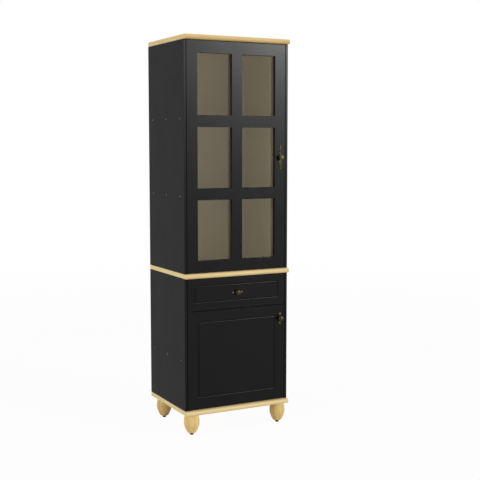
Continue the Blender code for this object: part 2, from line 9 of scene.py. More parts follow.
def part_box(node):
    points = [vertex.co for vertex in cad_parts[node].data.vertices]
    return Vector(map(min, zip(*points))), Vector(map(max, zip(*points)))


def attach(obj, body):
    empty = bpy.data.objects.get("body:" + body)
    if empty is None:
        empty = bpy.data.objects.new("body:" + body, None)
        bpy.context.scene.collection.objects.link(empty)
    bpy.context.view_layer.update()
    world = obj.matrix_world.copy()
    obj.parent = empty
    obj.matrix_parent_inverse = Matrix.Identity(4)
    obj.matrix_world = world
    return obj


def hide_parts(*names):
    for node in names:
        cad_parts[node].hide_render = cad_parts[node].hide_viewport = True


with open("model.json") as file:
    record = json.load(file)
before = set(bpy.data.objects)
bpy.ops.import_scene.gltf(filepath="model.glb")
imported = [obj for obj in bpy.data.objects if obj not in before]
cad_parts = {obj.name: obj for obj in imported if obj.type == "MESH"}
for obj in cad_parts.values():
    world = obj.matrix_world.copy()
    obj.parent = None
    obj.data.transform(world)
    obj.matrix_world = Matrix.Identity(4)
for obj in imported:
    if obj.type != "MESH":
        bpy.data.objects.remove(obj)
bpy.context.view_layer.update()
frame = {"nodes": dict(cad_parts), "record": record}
nodes = frame["nodes"]
bodyOf = {node: body for body, held in frame["record"]["behaviour"]["bodies"].items() for node in held}


# Shader wiring
class Wire:
    # One socket of a node tree. Arithmetic on wires adds Math nodes.
    def __init__(self, tree, socket=None):
        self.tree = tree
        self.socket = socket

    def node(self, kind, settings=None, sockets=None, out=0):
        made = self.tree.nodes.new(kind)
        for name, value in (settings or {}).items():
            setattr(made, name, value)
        for key, value in (sockets or {}).items():
            if isinstance(value, Wire):
                self.tree.links.new(value.socket, made.inputs[key])
            else:
                made.inputs[key].default_value = value
        return Wire(self.tree, made.outputs[out] if made.outputs else None)

    def maths(self, operation, *values):
        return self.node("ShaderNodeMath", {"operation": operation}, dict(enumerate(values)))

    def __add__(self, other):
        return self.maths("ADD", self, other)

    def __radd__(self, other):
        return self.maths("ADD", other, self)

    def __sub__(self, other):
        return self.maths("SUBTRACT", self, other)

    def __rsub__(self, other):
        return self.maths("SUBTRACT", other, self)

    def __mul__(self, other):
        return self.maths("MULTIPLY", self, other)

    def __rmul__(self, other):
        return self.maths("MULTIPLY", other, self)

    def __truediv__(self, other):
        return self.maths("DIVIDE", self, other)

    def __pow__(self, other):
        return self.maths("POWER", self, other)

    def limited(self):
        return self.node("ShaderNodeClamp", {}, {0: self})

    def tint(self, first, second):
        # This wire is the share of the second colour.
        sockets = {0: self, 6: rgba(first), 7: rgba(second)}
        return self.node("ShaderNodeMix", {"data_type": "RGBA"}, sockets, out=2)

    def noise(self, vector, scale, detail=2.0, roughness=0.5):
        sockets = {"Vector": vector, "Scale": scale, "Detail": detail, "Roughness": roughness}
        return self.node("ShaderNodeTexNoise", {}, sockets)

    def vector(self, x, y, z):
        return self.node("ShaderNodeCombineXYZ", {}, {0: x, 1: y, 2: z})

    def parts(self):
        return [self.node("ShaderNodeSeparateXYZ", {}, {0: self}, out=axis) for axis in "XYZ"]


def rgba(colour):
    return colour if isinstance(colour, Wire) else (*colour, 1.0)


def startFinish(name):
    finish = bpy.data.materials.new(name)
    finish.use_nodes = True
    finish.node_tree.nodes.clear()
    wire = Wire(finish.node_tree)
    return finish, wire, wire.node("ShaderNodeTexCoord", out="Object")


def endFinish(wire, sockets, height=None, relief=0.0, strength=1.0):
    # The height is in units of the relief, which is in metres.
    if height:
        bump = {"Strength": strength, "Distance": relief, "Height": height}
        sockets = {**sockets, "Normal": wire.node("ShaderNodeBump", {}, bump)}
    shader = wire.node("ShaderNodeBsdfPrincipled", {}, sockets)
    wire.node("ShaderNodeOutputMaterial", {}, {"Surface": shader})


def blended(first, second, firstShare, secondShare, offset):
    return (first * firstShare + second * secondShare + offset).limited()


edgeRules = {"samples": 4, "contrast": 4}


def edgeShare(wire, radius):
    # 0 on flat stretches, towards 1 where a surface turns within the radius
    rounded = wire.node("ShaderNodeBevel", {"samples": edgeRules["samples"]}, {"Radius": radius})
    flat = wire.node("ShaderNodeNewGeometry", out="Normal")
    sides = {0: rounded, 1: flat}
    same = wire.node("ShaderNodeVectorMath", {"operation": "DOT_PRODUCT"}, sides, out="Value")
    return ((1 - same) * edgeRules["contrast"]).limited()


# Finishes. Noise scales are per metre, and uneven is the spread of the roughness.
paintLook = {
    "base": (0.0019, 0.0019, 0.0020),
    "worn": (0.0165, 0.0153, 0.0141),
    "gloss": 0.132,
    "peel": 620.0,  # the roller's orange peel, about 1.5 mm
    "mottle": 7.0,
    "rubbing": 46.0,
    "uneven": 0.10,
    "peelRough": 0.02,
    "relief": 0.00004,
    "bump": 0.25,
    "arris": 0.0015,
}


def blackPaint(name, roughness):
    finish, wire, spot = startFinish(name)
    uneven = paintLook["uneven"]
    peel = wire.noise(spot, paintLook["peel"], detail=2.0)
    mottle = wire.noise(spot, paintLook["mottle"], detail=4.0, roughness=0.6)
    rubbed = edgeShare(wire, paintLook["arris"]) * wire.noise(spot, paintLook["rubbing"], detail=3.0)
    sockets = {
        "Base Color": rubbed.tint(paintLook["base"], paintLook["worn"]),
        "Roughness": mottle * uneven + (roughness - uneven / 2) + peel * paintLook["peelRough"],
        "Specular IOR Level": paintLook["gloss"],
    }
    endFinish(wire, sockets, peel, paintLook["relief"], paintLook["bump"])
    return finish


woodLook = {
    "board": {"early": (0.714, 0.556, 0.264), "late": (0.520, 0.338, 0.126)},
    "turned": {"early": (0.790, 0.578, 0.243), "late": (0.370, 0.190, 0.045)},
    "sheen": 0.30,
    "rough": 0.45,
    "uneven": 0.14,
    "lateRough": 0.05,
    "rubbed": (0.80, 0.630, 0.306),
    "edgeWear": 0.5,
    "stave": 0.088,
    "seeds": (1.3, 40),  # from stave to stave, and from piece to piece
    "heartAcross": (0.1, 0.8),  # of a stave's width: the least, and the spread
    "heartDeep": (0.03, 0.05),  # in metres, the same
    "ring": 0.0062,
    "sway": 0.034,
    "slow": (2.6, 9, 9),  # noise scales along and across the grain, and each stave's slip along it
    "fibre": (9, 330),
    "streak": (3.0, 52, 5),
    "dark": {"late": 0.36, "fibre": 0.26, "streak": 1.15, "stave": 0.16},
    "paintedEndLight": 0.42,  # how much paler the faces looking along X, the board ends, are drawn: painted light
    "arris": 0.002,
    "raised": {"fibre": 0.6, "late": 0.4},
    "relief": 0.00012,
    "bump": 0.45,
}


def paleWood(name, lot, toneAndPaintedLight):
    # Grain runs along X in the boards and along Z in the turned feet, under clear lacquer.
    finish, wire, spot = startFinish(name)
    upright = lot == "turned"
    tones = woodLook[lot]
    x, y, z = spot.parts()
    along, across, deep = (z, x, y) if upright else (x, y, z)
    # Glued staves, each with its own shift of the grain, and rings round a heart below each stave.
    # A foot is turned from the middle of one stave.
    stave = wire.maths("FLOOR", across / woodLook["stave"] + (0.5 if upright else 0.0))
    fromStave, fromPiece = woodLook["seeds"]
    seed = {"W": stave * fromStave + wire.node("ShaderNodeObjectInfo", out="Random") * fromPiece}
    shift = wire.node("ShaderNodeTexWhiteNoise", {"noise_dimensions": "1D"}, seed)

    def stretched(lengthwise, crosswise, slip=0):
        run = along * lengthwise + shift * slip if slip else along * lengthwise
        return wire.vector(run, across * crosswise, deep * crosswise)

    sway = wire.noise(stretched(*woodLook["slow"]), 1.0, detail=3.0)
    fibre = wire.noise(stretched(*woodLook["fibre"]), 1.0, detail=3.0, roughness=0.6)
    streak = wire.noise(stretched(*woodLook["streak"]), 1.0, detail=3.0, roughness=0.6)
    least, spread = woodLook["heartAcross"]
    aside = across - (stave + shift * spread + least) * woodLook["stave"]
    least, spread = woodLook["heartDeep"]
    heart = wire.maths("SQRT", aside * aside + (deep + shift * spread + least) ** 2.0)
    turns = (heart + sway * woodLook["sway"]) * (math.tau / woodLook["ring"])
    late = (wire.maths("SINE", turns) * 0.5 + 0.5) ** 2.0
    # Faces that look along X, the board ends, are drawn paler: painted light.
    facing = wire.node("ShaderNodeNewGeometry", out="Normal").parts()[0]
    paintedEndLight = 0.0 if upright else facing * facing * woodLook["paintedEndLight"]
    dark = woodLook["dark"]
    tone = late * dark["late"] + fibre * dark["fibre"] + streak * dark["streak"] + shift * dark["stave"]
    # The paleness taken off is the feet's own tone; on the boards it is painted light that grows towards the
    # bottom.
    tone = (tone - toneAndPaintedLight - paintedEndLight).limited()
    wood = tone.tint(tones["early"], tones["late"])
    rubbed = edgeShare(wire, woodLook["arris"]) * woodLook["edgeWear"]
    raised = fibre * woodLook["raised"]["fibre"] + late * woodLook["raised"]["late"]
    sockets = {
        "Base Color": rubbed.tint(wood, woodLook["rubbed"]),
        "Roughness": fibre * woodLook["uneven"] + woodLook["rough"] + late * woodLook["lateRough"],
        "Specular IOR Level": woodLook["sheen"],
    }
    endFinish(wire, sockets, raised, woodLook["relief"], woodLook["bump"])
    return finish


liningLook = {
    "base": (0.662, 0.612, 0.500),
    "fleck": (0.612, 0.562, 0.450),
    "gloss": 0.35,
    "rough": 0.46,
    "uneven": 0.16,
    "flecks": 260.0,
    "clouds": 5.0,
    "shares": (0.8, 0.4, -0.2),  # of flecks and clouds, and what is taken off
    "relief": 0.00004,
    "bump": 0.5,
}


def beigeLining(name):
    finish, wire, spot = startFinish(name)
    fleck = wire.noise(spot, liningLook["flecks"], detail=3.0, roughness=0.65)
    cloud = wire.noise(spot, liningLook["clouds"], detail=3.0)
    flecked = blended(fleck, cloud, *liningLook["shares"])
    sockets = {
        "Base Color": flecked.tint(liningLook["base"], liningLook["fleck"]),
        "Roughness": fleck * liningLook["uneven"] + liningLook["rough"],
        "Specular IOR Level": liningLook["gloss"],
    }
    endFinish(wire, sockets, fleck, liningLook["relief"], liningLook["bump"])
    return finish


hardboardLook = {
    "base": (0.30, 0.185, 0.095),
    "fibre": (0.19, 0.110, 0.052),
    "gloss": 0.25,
    "rough": 0.68,
    "uneven": 0.14,
    "fibres": (160, 70),  # across and up
    "clouds": 9.0,
    "shares": (0.9, 0.5, -0.25),  # of fibres and clouds, and what is taken off
    "mesh": 2600,  # radians a metre, about 2.4 mm from wire to wire
    "weave": 0.5,
    "relief": 0.00010,
    "bump": 0.6,
}


def rawHardboard(name):
    # The outer face of the back panels: pressed fibre with a fine mesh print
    finish, wire, spot = startFinish(name)
    x, _, z = spot.parts()
    across, up = hardboardLook["fibres"]
    fibre = wire.noise(wire.vector(x * across, 0.0, z * up), 1.0, detail=4.0, roughness=0.7)
    cloud = wire.noise(spot, hardboardLook["clouds"], detail=3.0)
    mesh = hardboardLook["mesh"]
    weave = wire.maths("SINE", x * mesh) * wire.maths("SINE", z * mesh)
    matted = blended(fibre, cloud, *hardboardLook["shares"])
    sockets = {
        "Base Color": matted.tint(hardboardLook["base"], hardboardLook["fibre"]),
        "Roughness": fibre * hardboardLook["uneven"] + hardboardLook["rough"],
        "Specular IOR Level": hardboardLook["gloss"],
    }
    raised = weave * hardboardLook["weave"] + fibre
    endFinish(wire, sockets, raised, hardboardLook["relief"], hardboardLook["bump"])
    return finish


brassLook = {
    "dark": (0.026, 0.021, 0.012),
    "worn": (0.294, 0.270, 0.113),
    "grip": 50,  # for each metre out from the plate, so that the rubbing is full and the painted shade at the foot gone at 20 mm
    "patina": 210.0,
    "contrast": 1.3,
    "edgeWear": 0.4,
    "polish": 0.15,  # how much smoother the worn metal is
    "arris": 0.0018,
    "relief": 0.00006,
    "bump": 0.5,
}


def oldBrass(name, wornShare, tipRubAndFootShade, roughness):
    # Handled brass is rubbed bright towards the tip of the knob. The darkness at its foot is painted shade,
    # where the head shades its base.
    finish, wire, spot = startFinish(name)
    contrast = brassLook["contrast"]
    patina = wire.noise(spot, brassLook["patina"], detail=4.0, roughness=0.62)
    # Dark near the plate, bright out towards the tip: rubbing wear, and painted shade at the foot.
    reach = (spot.parts()[1] * -brassLook["grip"]).limited()
    edges = edgeShare(wire, brassLook["arris"]) * (reach if tipRubAndFootShade else 1.0)
    wearAndFootShade = reach * tipRubAndFootShade + edges * brassLook["edgeWear"]
    worn = (patina * contrast + (wornShare - contrast / 2) + wearAndFootShade).limited()
    sockets = {
        "Base Color": worn.tint(brassLook["dark"], brassLook["worn"]),
        "Roughness": roughness - worn * brassLook["polish"],
        "Metallic": 1.0,
    }
    endFinish(wire, sockets, patina, brassLook["relief"], brassLook["bump"])
    return finish


steelLook = {
    "bright": {"base": (0.60, 0.60, 0.62), "dull": (0.42, 0.42, 0.43)},
    "aged": {"base": (0.223, 0.221, 0.194), "dull": (0.123, 0.121, 0.106)},
    "blackened": {"base": (0.030, 0.030, 0.031), "dull": (0.016, 0.016, 0.016)},
    "rough": 0.24,
    "uneven": 0.18,
    "drawn": (900, 30, 900),
    "spangles": 130.0,
    "shares": (0.6, 0.5, -0.1),  # of drawn lines and spangles, and what is taken off
    "relief": 0.00002,
    "bump": 0.4,
}


def plainSteel(name, state):
    look = steelLook[state]
    finish, wire, spot = startFinish(name)
    lines = [axis * scale for axis, scale in zip(spot.parts(), steelLook["drawn"])]
    drawn = wire.noise(wire.vector(*lines), 1.0, detail=3.0)
    spangle = wire.noise(spot, steelLook["spangles"], detail=2.0)
    sockets = {
        "Base Color": blended(drawn, spangle, *steelLook["shares"]).tint(look["base"], look["dull"]),
        "Roughness": drawn * steelLook["uneven"] + steelLook["rough"],
        "Metallic": 1.0,
    }
    endFinish(wire, sockets, drawn, steelLook["relief"], steelLook["bump"])
    return finish


mouldedLook = {
    "black": {"base": (0.003, 0.003, 0.003), "scuffed": (0.014, 0.014, 0.014), "rough": 0.62, "gloss": 0.07},
    "white": {"base": (0.72, 0.71, 0.67), "scuffed": (0.80, 0.79, 0.76), "rough": 0.40, "gloss": 0.40},
    "uneven": 0.14,
    "grain": 1500.0,
    "scuffs": 150.0,
    "arris": 0.001,
    "relief": 0.00004,
    "bump": 0.5,
}


def moulded(name, colour):
    look = mouldedLook[colour]
    finish, wire, spot = startFinish(name)
    uneven = mouldedLook["uneven"]
    grain = wire.noise(spot, mouldedLook["grain"], detail=2.0)
    scuff = edgeShare(wire, mouldedLook["arris"]) * wire.noise(spot, mouldedLook["scuffs"], detail=3.0)
    sockets = {
        "Base Color": scuff.tint(look["base"], look["scuffed"]),
        "Roughness": grain * uneven + (look["rough"] - uneven / 2),
        "Specular IOR Level": look["gloss"],
    }
    endFinish(wire, sockets, grain, mouldedLook["relief"], mouldedLook["bump"])
    return finish


glassLook = {
    "tint": (0.60, 0.535, 0.380),
    "smears": 6.0,
    "smeared": 0.94,  # share of the tint
    "film": 0.067,
    "slant": 0.45,
    "blend": 0.22,
    "rough": 0.02,
    "uneven": 0.03,
}


def clearGlass(name):
    # The clear share lets light through; a thin tinted mirror, stronger at a slant, tones the panes.
    finish, wire, spot = startFinish(name)
    slant = wire.node("ShaderNodeLayerWeight", {}, {"Blend": glassLook["blend"]}, out="Fresnel")
    smear = wire.noise(spot, glassLook["smears"], detail=3.0)
    dimmed = [channel * glassLook["smeared"] for channel in glassLook["tint"]]
    sockets = {
        "Base Color": smear.tint(glassLook["tint"], dimmed),
        "Roughness": smear * glassLook["uneven"] + glassLook["rough"],
        "Metallic": 1.0,
        "Alpha": (slant * glassLook["slant"] + glassLook["film"]).limited(),
    }
    endFinish(wire, sockets)
    return finish


finishes = {
    "frontPaint": blackPaint("satinBlackFront", roughness=0.28),
    "sidePaint": blackPaint("mattBlackSide", roughness=0.59),
    # The three boards are one wood, drawn darker at the top and paler towards the bottom: painted shade and
    # light by height.
    "topWood": paleWood("topBoardWood", "board", toneAndPaintedLight=0.17),
    "middleWood": paleWood("middleBoardWood", "board", toneAndPaintedLight=0.62),
    "bottomWood": paleWood("bottomBoardWood", "board", toneAndPaintedLight=0.95),
    "footWood": paleWood("turnedWood", "turned", toneAndPaintedLight=0.62),
    "lining": beigeLining("beigeLining"),
    "hardboard": rawHardboard("rawHardboard"),
    "brass": oldBrass("rubbedBrassFootShaded", wornShare=-0.14, tipRubAndFootShade=0.38, roughness=0.45),
    # The lower door and the drawer get darker copies of the same brass: painted shade for the knobs and
    # plates low on the front.
    "shadedBrass": oldBrass("shadedCopyBrass", wornShare=-0.20, tipRubAndFootShade=0.27, roughness=0.45),
    "plateBrass": oldBrass("dullBrass", wornShare=0.04, tipRubAndFootShade=0.0, roughness=0.58),
    "dimPlate": oldBrass("shadedCopyPlate", wornShare=-0.22, tipRubAndFootShade=0.0, roughness=0.58),
    "steel": plainSteel("zincSteel", "bright"),
    "agedSteel": plainSteel("agedSteel", "aged"),
    "blackSteel": plainSteel("blackenedSteel", "blackened"),
    "blackPlastic": moulded("blackPlastic", "black"),
    "whitePlastic": moulded("whitePlastic", "white"),
    "glass": clearGlass("clearGlass"),
}
print("finishes made,", len(finishes))


# Making pieces
meshRules = {
    "crease": 38,  # degrees; sharper edges stay crisp
    "sharp": 30,  # degrees; sharper edges are eased
    "flat": 0.5,  # degrees between the triangles of one flat face
    "merge": 2e-5,  # metres, for points of a solid
    "weld": 1e-6,  # metres, for points of a lathed shape or a cut
}


def pieceName(node):
    first, *rest = node.split("_")
    return first + "".join(word.capitalize() for word in rest)


def putPiece(name, bm, finish, node, stands=True, origin=(0, 0, 0), weighted=True):
    # A piece rides with the solid it belongs to, and stands for it unless it is an addition.
    bmesh.ops.translate(bm, vec=-Vector(origin), verts=bm.verts)
    for edge in bm.edges:
        if edge.calc_face_angle(0) > math.radians(meshRules["crease"]):
            edge.smooth = False
    mesh = bpy.data.meshes.new(name)
    bm.to_mesh(mesh)
    bm.free()
    for skin in finish if isinstance(finish, list) else [finish]:
        mesh.materials.append(skin)
    mesh.shade_smooth()
    piece = bpy.data.objects.new(name, mesh)
    bpy.context.scene.collection.objects.link(piece)
    piece.location = origin
    if weighted:
        even = piece.modifiers.new("evenShading", "WEIGHTED_NORMAL")
        even.keep_sharp = True
    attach(piece, bodyOf[node])
    if stands:
        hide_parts(node)


def solidCopy(node):
    # The solid's own shape, with its triangles merged back into whole faces
    bm = bmesh.new()
    bm.from_mesh(nodes[node].data)
    bmesh.ops.remove_doubles(bm, verts=bm.verts, dist=meshRules["merge"])
    flat = math.radians(meshRules["flat"])
    bmesh.ops.dissolve_limit(bm, angle_limit=flat, verts=bm.verts, edges=bm.edges)
    return bm


def easeEdges(bm, ease, segments=3, least=meshRules["sharp"]):
    sharp = [edge for edge in bm.edges if edge.calc_face_angle(0) > math.radians(least)]
    bmesh.ops.bevel(
        bm, geom=sharp, offset=ease, segments=segments, profile=0.5, affect="EDGES", clamp_overlap=True
    )
    return bm


def lathe(profile, steps):
    bm = bmesh.new()
    points = [bm.verts.new((radius, 0, height)) for radius, height in profile]
    edges = [bm.edges.new(pair) for pair in zip(points, points[1:])]
    bmesh.ops.spin(
        bm, geom=points + edges, cent=(0, 0, 0), axis=(0, 0, 1), angle=math.tau, steps=steps, use_merge=True
    )
    bmesh.ops.remove_doubles(bm, verts=bm.verts, dist=meshRules["weld"])
    bmesh.ops.recalc_face_normals(bm, faces=bm.faces)
    return bm


def block(low, high):
    bm = bmesh.new()
    bmesh.ops.create_cube(bm, size=1.0)
    low = Vector(low)
    high = Vector(high)
    bmesh.ops.scale(bm, vec=high - low, verts=bm.verts)
    bmesh.ops.translate(bm, vec=(high + low) / 2, verts=bm.verts)
    return bm


def asMesh(bm):
    mesh = bpy.data.meshes.new("shape")
    bm.to_mesh(mesh)
    bm.free()
    return mesh


def carved(bm, cutters):
    # The shape less its cutters, through an exact boolean
    holder = bpy.data.objects.new("carving", asMesh(bm))
    tool = bpy.data.objects.new("cutter", asMesh(gathered(cutters)))
    for one in (holder, tool):
        bpy.context.scene.collection.objects.link(one)
    cut = holder.modifiers.new("cut", "BOOLEAN")
    cut.object = tool
    cut.solver = "EXACT"
    graph = bpy.context.evaluated_depsgraph_get()
    result = bmesh.new()
    result.from_mesh(holder.evaluated_get(graph).to_mesh())
    for one in (holder, tool):
        bpy.data.objects.remove(one)
    return result


def gathered(shapes):
    bm = bmesh.new()
    for shape in shapes:
        bm.from_mesh(asMesh(shape))
    return bm


def aimed(bm, place, direction):
    # Turns a shape's +Z to the direction and puts its origin at the place.
    turn = Vector((0, 0, 1)).rotation_difference(Vector(direction)).to_matrix().to_4x4()
    bmesh.ops.transform(bm, matrix=Matrix.Translation(place) @ turn, verts=bm.verts)
    return bm


def arc(centre, radius, start, end, steps):
    turns = [math.radians(start + (end - start) * step / steps) for step in range(steps + 1)]
    return [(centre[0] + radius * math.cos(turn), centre[1] + radius * math.sin(turn)) for turn in turns]


# Boards with a rounded front edge
boardShape = {
    "nose": 0.010,
    "steps": 12,
    "ends": 0.0028,
    "endSteps": 4,
    "corner": 60,  # degrees; the round nose itself isn't eased
}


def woodenBoard(level):
    node = level + "_board"
    low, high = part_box(node)
    nose = boardShape["nose"]
    steps = boardShape["steps"]
    outline = arc((low.y + nose, low.z + nose), nose, 270, 180, steps)
    outline += arc((low.y + nose, high.z - nose), nose, 180, 90, steps)
    outline += [(high.y, high.z), (high.y, low.z)]
    bm = bmesh.new()
    face = bm.faces.new([bm.verts.new((low.x, y, z)) for y, z in outline])
    grown = bmesh.ops.extrude_face_region(bm, geom=[face])["geom"]
    risen = [part for part in grown if isinstance(part, bmesh.types.BMVert)]
    bmesh.ops.translate(bm, vec=(high.x - low.x, 0, 0), verts=risen)
    bmesh.ops.recalc_face_normals(bm, faces=bm.faces)
    easeEdges(bm, boardShape["ends"], boardShape["endSteps"], boardShape["corner"])
    putPiece(pieceName(node), bm, finishes[level + "Wood"], node, origin=(low + high) / 2)


for level in ("top", "middle", "bottom"):
    woodenBoard(level)
print("boards made")


# Turned feet on glides
footShape = {
    "top": 0.0320,
    "belly": 0.0375,
    "toe": 0.0200,
    "bellyRise": 0.049,
    "toeRim": ((0.0012, 0.0), (0.0003, 0.0004)),  # in from the toe's radius, up from its end
    "neckRim": ((0.0004, 0.0004), (0.0014, 0.0)),  # in from the neck's radius, down from its end
    "seat": 0.0003,
    "rings": 18,
    "steps": 64,
}


def swelling(outer, inner, share):
    return inner + (outer - inner) * math.cos(share * math.pi / 2)


def turnedFoot(corner):
    low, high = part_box("foot_" + corner)
    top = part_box("bottom_board")[0].z - footShape["seat"]
    belly = low.z + footShape["bellyRise"]
    rings = footShape["rings"]
    toe = footShape["toe"]
    neck = footShape["top"]
    profile = [(0, low.z)]
    profile += [(toe - inward, low.z + rise) for inward, rise in footShape["toeRim"]]
    for step in range(rings - 1, 0, -1):
        share = step / rings
        profile.append((swelling(footShape["belly"], toe, share), belly - share * footShape["bellyRise"]))
    for step in range(rings):
        share = step / rings
        profile.append((swelling(footShape["belly"], neck, share), belly + share * (top - belly)))
    profile += [(neck - inward, top - drop) for inward, drop in footShape["neckRim"]]
    profile.append((0, top))
    middle = (low + high) / 2
    base = Vector((middle.x, middle.y, 0))
    foot = aimed(lathe(profile, footShape["steps"]), base, (0, 0, 1))
    putPiece("turnedFoot." + corner, foot, finishes["footWood"], "foot_" + corner, origin=base)


glideShape = {
    "dish": ((0.0, 0.0004), (0.55, 0.0003), (0.62, 0.0)),  # shares of the radius, and heights
    "round": 0.002,
    "roundSteps": 6,
    "chamfer": (0.0008, 0.001),
    "steps": 40,
}


def plasticGlide(corner):
    node = "glide_" + corner
    low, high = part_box(node)
    radius = (high.x - low.x) / 2
    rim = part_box("foot_" + corner)[0].z - footShape["seat"]
    bend = glideShape["round"]
    inward, drop = glideShape["chamfer"]
    profile = [(radius * share, height) for share, height in glideShape["dish"]]
    profile += arc((radius - bend, bend), bend, 270, 360, glideShape["roundSteps"])
    profile += [(radius, rim - drop), (radius - inward, rim), (0, rim)]
    middle = (low + high) / 2
    place = Vector((middle.x, middle.y, low.z))
    glide = aimed(lathe(profile, glideShape["steps"]), place, (0, 0, 1))
    putPiece("glide." + corner, glide, finishes["blackPlastic"], node)


for corner in ("front_left", "front_right", "back_left", "back_right"):
    turnedFoot(corner)
    plasticGlide(corner)
print("feet made")


# Cross-head screws
screwShape = {
    "recess": 0.62,  # shares of the radius
    "slot": 0.17,
    "shank": 0.55,
    "depth": 0.42,  # shares of the height
    "domeBase": 0.35,
    "flank": 0.8,
    "edge": 0.0001,
    "domeSteps": 6,
    "steps": 24,
    "turn": 2.4,  # radians from one screw to the next
}


def screwHead(radius, height, domed):
    if domed:
        base = screwShape["domeBase"]
        steps = screwShape["domeSteps"]
        rise = [math.radians(90 * step / steps) for step in range(steps + 1)]
        profile = [(radius * math.cos(turn), height * (base + (1 - base) * math.sin(turn))) for turn in rise]
        profile = [(0, 0), (radius, 0)] + profile[:-1] + [(0, height)]
    else:
        profile = [(0, 0), (radius * screwShape["shank"], 0), (radius, height * screwShape["flank"])]
        profile += [(radius - screwShape["edge"], height), (0, height)]
    reach = radius * screwShape["recess"]
    half = radius * screwShape["slot"]
    floor = height * (1 - screwShape["depth"])
    level = block((-reach, -half, floor), (reach, half, height * 2))
    upright = block((-half, -reach, floor), (half, reach, height * 2))
    return carved(carved(lathe(profile, screwShape["steps"]), [level]), [upright])


def screwRow(name, node, places, direction, size, domed=True, finish="steel"):
    # The size is a radius and a height. Each screw is turned further than the last, as driven screws are.
    master = asMesh(screwHead(*size, domed))
    rows = bmesh.new()
    for number, place in enumerate(places):
        one = bmesh.new()
        one.from_mesh(master)
        spin = Matrix.Rotation(number * screwShape["turn"], 3, "Z")
        bmesh.ops.rotate(one, verts=one.verts, cent=(0, 0, 0), matrix=spin)
        rows.from_mesh(asMesh(aimed(one, place, direction)))
    putPiece(name, rows, finishes[finish], node, stands=False, weighted=False)


# Side panels: black outside, beige inside, with a row of screws into each shelf
sideShape = {
    "ease": 0.0009,
    "paintIn": 0.024,  # the black runs in past the back of the doors
    "sink": 0.0040,
    "sinkFloor": 0.94,  # share of the sink's radius
    "sinkDeep": 0.0016,
    "sinkOver": 0.0004,
    "sinkSteps": 28,
    "screw": (0.0036, 0.0013),
    "screwDeep": 0.0015,
    "fromFront": (0.0455, 0.209, 0.372),
    "inward": 0.99,  # how squarely a lined face looks in, and a front edge looks forward
    "forward": 0.3,
}
shelfBehind = {"upper": ("upper_shelf_low", "upper_shelf_high"), "lower": ("lower_shelf",)}


def sidePanel(storey, side):
    node = storey + "_" + side + "_side"
    hand = -1 if side == "left" else 1
    low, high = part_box(node)
    outer = low.x if hand < 0 else high.x
    places = []
    for shelf in shelfBehind[storey]:
        shelfLow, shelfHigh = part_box(shelf)
        for back in sideShape["fromFront"]:
            places.append(Vector((outer, low.y + back, (shelfLow.z + shelfHigh.z) / 2)))
    sink = sideShape["sink"]
    deep = sideShape["sinkDeep"]
    over = sideShape["sinkOver"]
    hollow = [(0, -deep), (sink * sideShape["sinkFloor"], -deep), (sink, over), (0, over)]
    cutters = []
    for place in places:
        cutters.append(aimed(lathe(hollow, sideShape["sinkSteps"]), place, (hand, 0, 0)))
    panel = carved(easeEdges(solidCopy(node), sideShape["ease"]), cutters)
    paintEnd = low.y + sideShape["paintIn"]
    parts = panel.verts[:] + panel.edges[:] + panel.faces[:]
    weld = meshRules["weld"]
    bmesh.ops.bisect_plane(panel, geom=parts, dist=weld, plane_co=(0, paintEnd, 0), plane_no=(0, 1, 0))
    for face in panel.faces:
        middle = face.calc_center_median()
        inward = face.normal.x * hand < -sideShape["inward"] and abs(middle.x - outer) > sink
        forward = face.normal.y < -sideShape["forward"]
        face.material_index = 1 if inward and middle.y > paintEnd else 2 if forward else 0
    skins = [finishes[skin] for skin in ("sidePaint", "lining", "frontPaint")]
    name = storey + side.capitalize()
    putPiece(name + "Panel", panel, skins, node)
    seats = [place - Vector((hand * sideShape["screwDeep"], 0, 0)) for place in places]
    screwRow(name + "Screws", node, seats, (hand, 0, 0), sideShape["screw"], False, "agedSteel")


for storey in ("upper", "lower"):
    for side in ("left", "right"):
        sidePanel(storey, side)
print("side panels made")


# Back panels, nailed on, with the raw face outward
backShape = {
    "proud": 0.0004,
    "ease": 0.0004,
    "inset": 0.004,
    "fromEnd": 0.014,
    "pitch": 0.11,
    "nail": 0.0022,
    "nailHead": ((1.0, 0.0), (0.8, 0.00025), (0.0, 0.0004)),  # shares of the radius, and heights
    "nailSteps": 16,
}


def backPanel(storey):
    node = storey + "_back_panel"
    low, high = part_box(node)
    face = high.y - backShape["proud"]
    panel = easeEdges(block(low, (high.x, face, high.z)), backShape["ease"], 2)
    for one in panel.faces:
        one.material_index = 1 if one.normal.y > 0.5 else 0
    putPiece(storey + "BackPanel", panel, [finishes["lining"], finishes["hardboard"]], node)
    inset = backShape["inset"]
    fromEnd = backShape["fromEnd"]
    rows = max(2, round((high.z - low.z) / backShape["pitch"]))
    places = []
    for row in range(rows + 1):
        height = low.z + fromEnd + (high.z - low.z - 2 * fromEnd) * row / rows
        places += [Vector((side, face, height)) for side in (low.x + inset, high.x - inset)]
    profile = [(0, 0)]
    profile += [(backShape["nail"] * share, rise) for share, rise in backShape["nailHead"]]
    dome = lathe(profile, backShape["nailSteps"])
    nails = gathered([aimed(dome.copy(), place, (0, 1, 0)) for place in places])
    dome.free()
    putPiece(storey + "BackNails", nails, finishes["steel"], node, stands=False, weighted=False)


backPanel("upper")
backPanel("lower")
print("back panels made")


